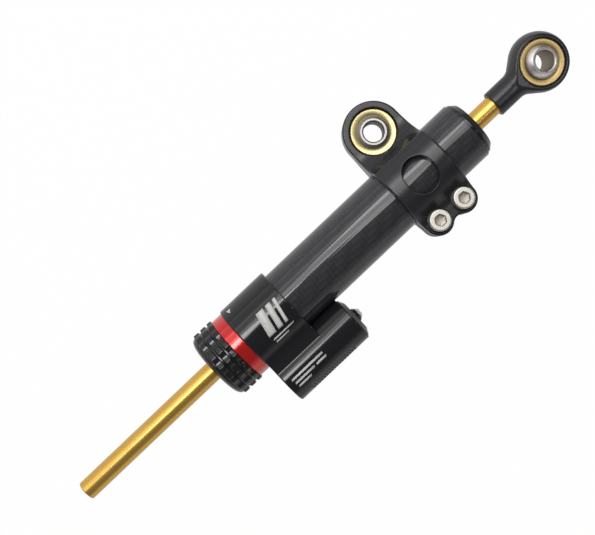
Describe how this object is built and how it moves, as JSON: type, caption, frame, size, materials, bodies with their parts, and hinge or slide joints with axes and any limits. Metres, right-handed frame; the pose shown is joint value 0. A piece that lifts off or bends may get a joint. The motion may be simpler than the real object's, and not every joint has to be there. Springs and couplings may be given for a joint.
{
  "type": "motorcycle steering damper",
  "caption": "Linear motorcycle steering damper: gold through rod, carbon tube, toothed adjuster knob, side reservoir, tube clamp with a ball joint, and a rod eye with a ball joint.",
  "frame": {"origin": "centre of the clamp's ball joint", "axes": "+X along the damper toward the rod eye, +Y from the damper's axis toward the clamp's eye, +Z along the bore of the clamp's ball"},
  "size_m": [0.2555, 0.0691, 0.0318],
  "materials": {
    "black_anodised": "satin black anodised",
    "carbon": "clear coated carbon weave",
    "red_anodised": "bright red anodised",
    "gold_rod": "gold nitride coated, polished",
    "gold_race": "gold passivated, turned",
    "bearing_steel": "polished",
    "bolt_steel": "zinc plated",
    "plain_aluminium": "turned",
    "bronze": "sintered",
    "seal_rubber": "matt",
    "band_plastic": "filled PTFE"
  },
  "bodies": {
    "clamp": {"mount_clamp": "black_anodised", "clamp_bolt_lower": "bolt_steel", "clamp_bolt_upper": "bolt_steel", "clamp_race": "gold_race"},
    "clamp_ball": {"clamp_ball": "bearing_steel"},
    "damper_body": {"valve_block": "black_anodised", "outer_tube": "carbon", "inner_cylinder": "plain_aluminium", "upper_cap": "black_anodised", "upper_guide_bush": "bronze", "upper_rod_seal": "seal_rubber", "upper_wiper": "seal_rubber", "lower_gland": "plain_aluminium", "lower_guide_bush": "bronze", "lower_rod_seal": "seal_rubber", "lower_wiper": "seal_rubber", "gland_o_ring": "seal_rubber", "cap_o_ring": "seal_rubber", "index_ring": "red_anodised", "click_ball": "bearing_steel", "click_spring": "bolt_steel", "knob_snap_ring": "bolt_steel", "reservoir_cap": "black_anodised", "reservoir_cap_o_ring": "seal_rubber", "charge_plug": "black_anodised", "charge_screw": "bolt_steel"},
    "adjuster": {"adjuster_knob": "black_anodised"},
    "needle": {"metering_needle": "bearing_steel"},
    "piston_set": {"piston": "plain_aluminium", "piston_band": "band_plastic", "piston_shim_lower": "bolt_steel", "piston_shim_upper": "bolt_steel"},
    "rod_set": {"piston_rod": "gold_rod", "piston_clip_lower": "bolt_steel", "piston_clip_upper": "bolt_steel", "rod_eye": "black_anodised", "rod_eye_race": "gold_race"},
    "rod_ball": {"rod_eye_ball": "bearing_steel"},
    "compensator": {"compensator_piston": "plain_aluminium", "compensator_o_ring": "seal_rubber"}
  },
  "joints": [
    {"name": "clamp_ball_tilt", "type": "hinge", "parent": "clamp", "child": "clamp_ball", "pos_m": [0, 0, 0], "axis": [0, 1, 0], "range_deg": [-13, 13]},
    {"name": "clamp_position", "type": "slide", "parent": "clamp", "child": "damper_body", "axis": [1, 0, 0], "range_m": [-0.012, 0.036]},
    {"name": "adjuster_turn", "type": "hinge", "parent": "damper_body", "child": "adjuster", "pos_m": [-0.1, -0.02465, 0.0068], "axis": [1, 0, 0], "range_deg": [-150, 150]},
    {"name": "needle_travel", "type": "slide", "parent": "damper_body", "child": "needle", "axis": [1, 0, 0], "range_m": [-0.0006, 0.0006]},
    {"name": "rod_stroke", "type": "slide", "parent": "damper_body", "child": "piston_set", "axis": [1, 0, 0], "range_m": [-0.0095, 0.0565]},
    {"name": "rod_turn", "type": "hinge", "parent": "piston_set", "child": "rod_set", "pos_m": [0.06535, -0.02465, 0.0068], "axis": [1, 0, 0], "continuous": true},
    {"name": "rod_ball_tilt", "type": "hinge", "parent": "rod_set", "child": "rod_ball", "pos_m": [0.06535, -0.02465, 0.0068], "axis": [0, 0.9744, 0.225], "range_deg": [-22, 4]},
    {"name": "compensator_travel", "type": "slide", "parent": "damper_body", "child": "compensator", "axis": [1, 0, 0], "range_m": [-0.0035, 0.0035]}
  ],
  "couplings": [
    {"joint": "needle_travel", "follows": "adjuster_turn", "m_per_rad": 0.000229}
  ]
}
